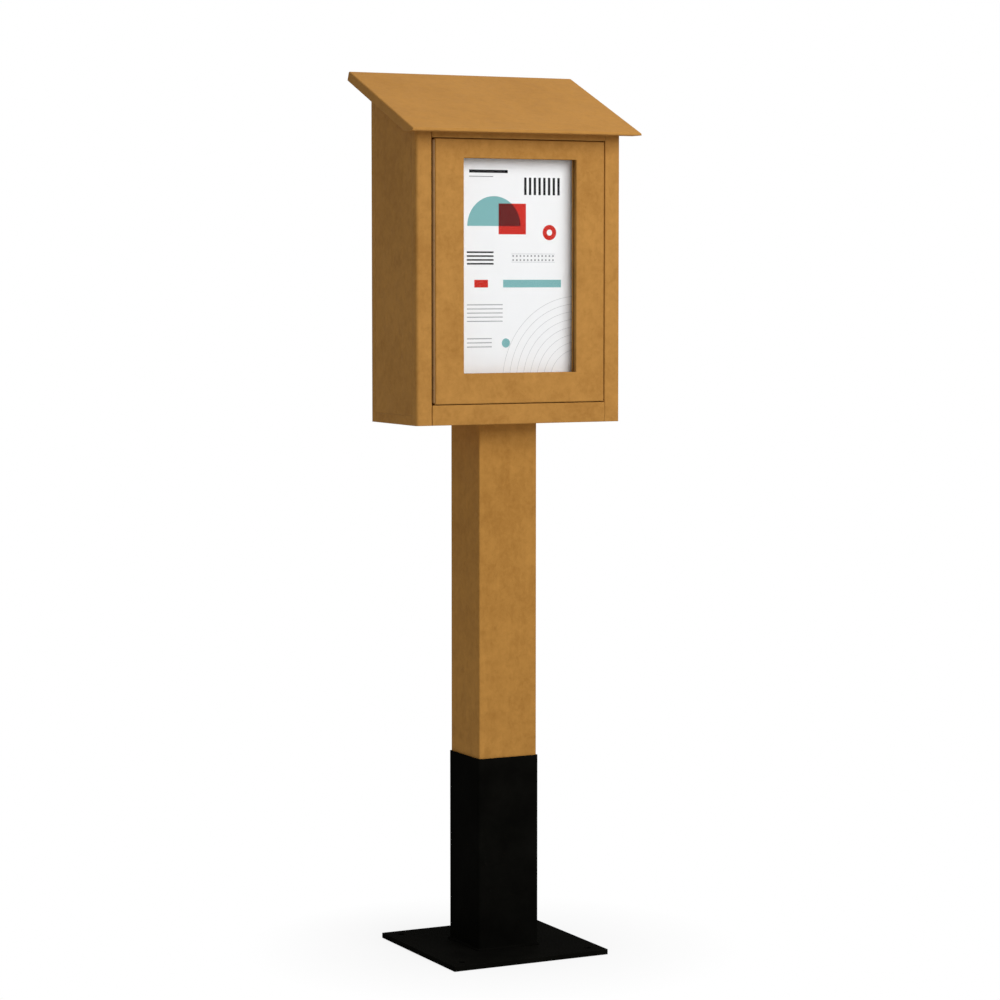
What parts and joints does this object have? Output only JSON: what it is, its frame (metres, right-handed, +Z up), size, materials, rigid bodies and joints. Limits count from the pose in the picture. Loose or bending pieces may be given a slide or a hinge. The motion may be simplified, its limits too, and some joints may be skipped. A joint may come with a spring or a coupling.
{
  "type": "lockable notice board",
  "caption": "Lockable glazed notice board cabinet with a pitched roof, on a square post in a black steel foot with a base plate.",
  "frame": {"origin": "on the ground under the middle of the post, at the middle of the base plate's underside", "axes": "+Z up; the glazed door faces -Y; +X is to the right of someone who reads the notice"},
  "size_m": [0.498, 0.34, 1.7517],
  "materials": {
    "cedar_plastic": "satin",
    "black_steel": "matte",
    "clear_sheet": "clear",
    "paper": "matte",
    "board_face": "matte",
    "black_foam": "matte",
    "brass": "polished",
    "zinc_steel": "satin",
    "chromed_zinc": "polished",
    "brown_steel": "satin"
  },
  "bodies": {
    "stand": {"back_panel": "cedar_plastic", "back_panel_screws": "brown_steel", "base_plate": "black_steel", "board_screws": "zinc_steel", "bottom_rail": "cedar_plastic", "bottom_stop_cleat": "cedar_plastic", "cleat_screws": "zinc_steel", "coach_screws": "zinc_steel", "coach_washers": "zinc_steel", "door_seal": "black_foam", "drawing_pins": "brass", "floor_panel": "cedar_plastic", "floor_screws": "brown_steel", "frame_screws": "zinc_steel", "head_plate": "zinc_steel", "hinge_frame_leaf": "brown_steel", "hinge_frame_screws": "brown_steel", "hinge_pin": "brown_steel", "left_roof_cleat": "cedar_plastic", "left_side_panel": "cedar_plastic", "left_stile": "cedar_plastic", "left_stop_cleat": "cedar_plastic", "lock_housing": "chromed_zinc", "lock_nut": "zinc_steel", "lower_board_rail": "cedar_plastic", "notice_sheet": "paper", "pin_board": "board_face", "post": "cedar_plastic", "post_sleeve": "black_steel", "rail_screws": "zinc_steel", "right_roof_cleat": "cedar_plastic", "right_side_panel": "cedar_plastic", "right_stile": "cedar_plastic", "right_stop_cleat": "cedar_plastic", "roof_panel": "cedar_plastic", "roof_screws": "zinc_steel", "sleeve_screws": "black_steel", "sleeve_weld": "black_steel", "top_rail": "cedar_plastic", "top_stop_cleat": "cedar_plastic", "upper_board_rail": "cedar_plastic"},
    "door": {"door_panel": "cedar_plastic", "glazing_gasket": "black_foam", "window_pane": "clear_sheet", "bottom_glazing_bead": "cedar_plastic", "top_glazing_bead": "cedar_plastic", "left_glazing_bead": "cedar_plastic", "right_glazing_bead": "cedar_plastic", "glazing_screws": "zinc_steel", "keeper": "zinc_steel", "keeper_screws": "zinc_steel", "hinge_door_leaf": "brown_steel", "hinge_door_screws": "brown_steel"},
    "lock": {"lock_plug": "chromed_zinc", "lock_cam": "zinc_steel", "cam_screw": "zinc_steel"}
  },
  "joints": [
    {"name": "door_swing", "type": "hinge", "parent": "stand", "child": "door", "pos_m": [-0.18635, -0.1145, 1.356], "axis": [0, 0, -1], "range_deg": [0, 170]},
    {"name": "lock_turn", "type": "hinge", "parent": "stand", "child": "lock", "pos_m": [0.223, -0.06, 1.36], "axis": [1, 0, 0], "range_deg": [0, 90]}
  ]
}
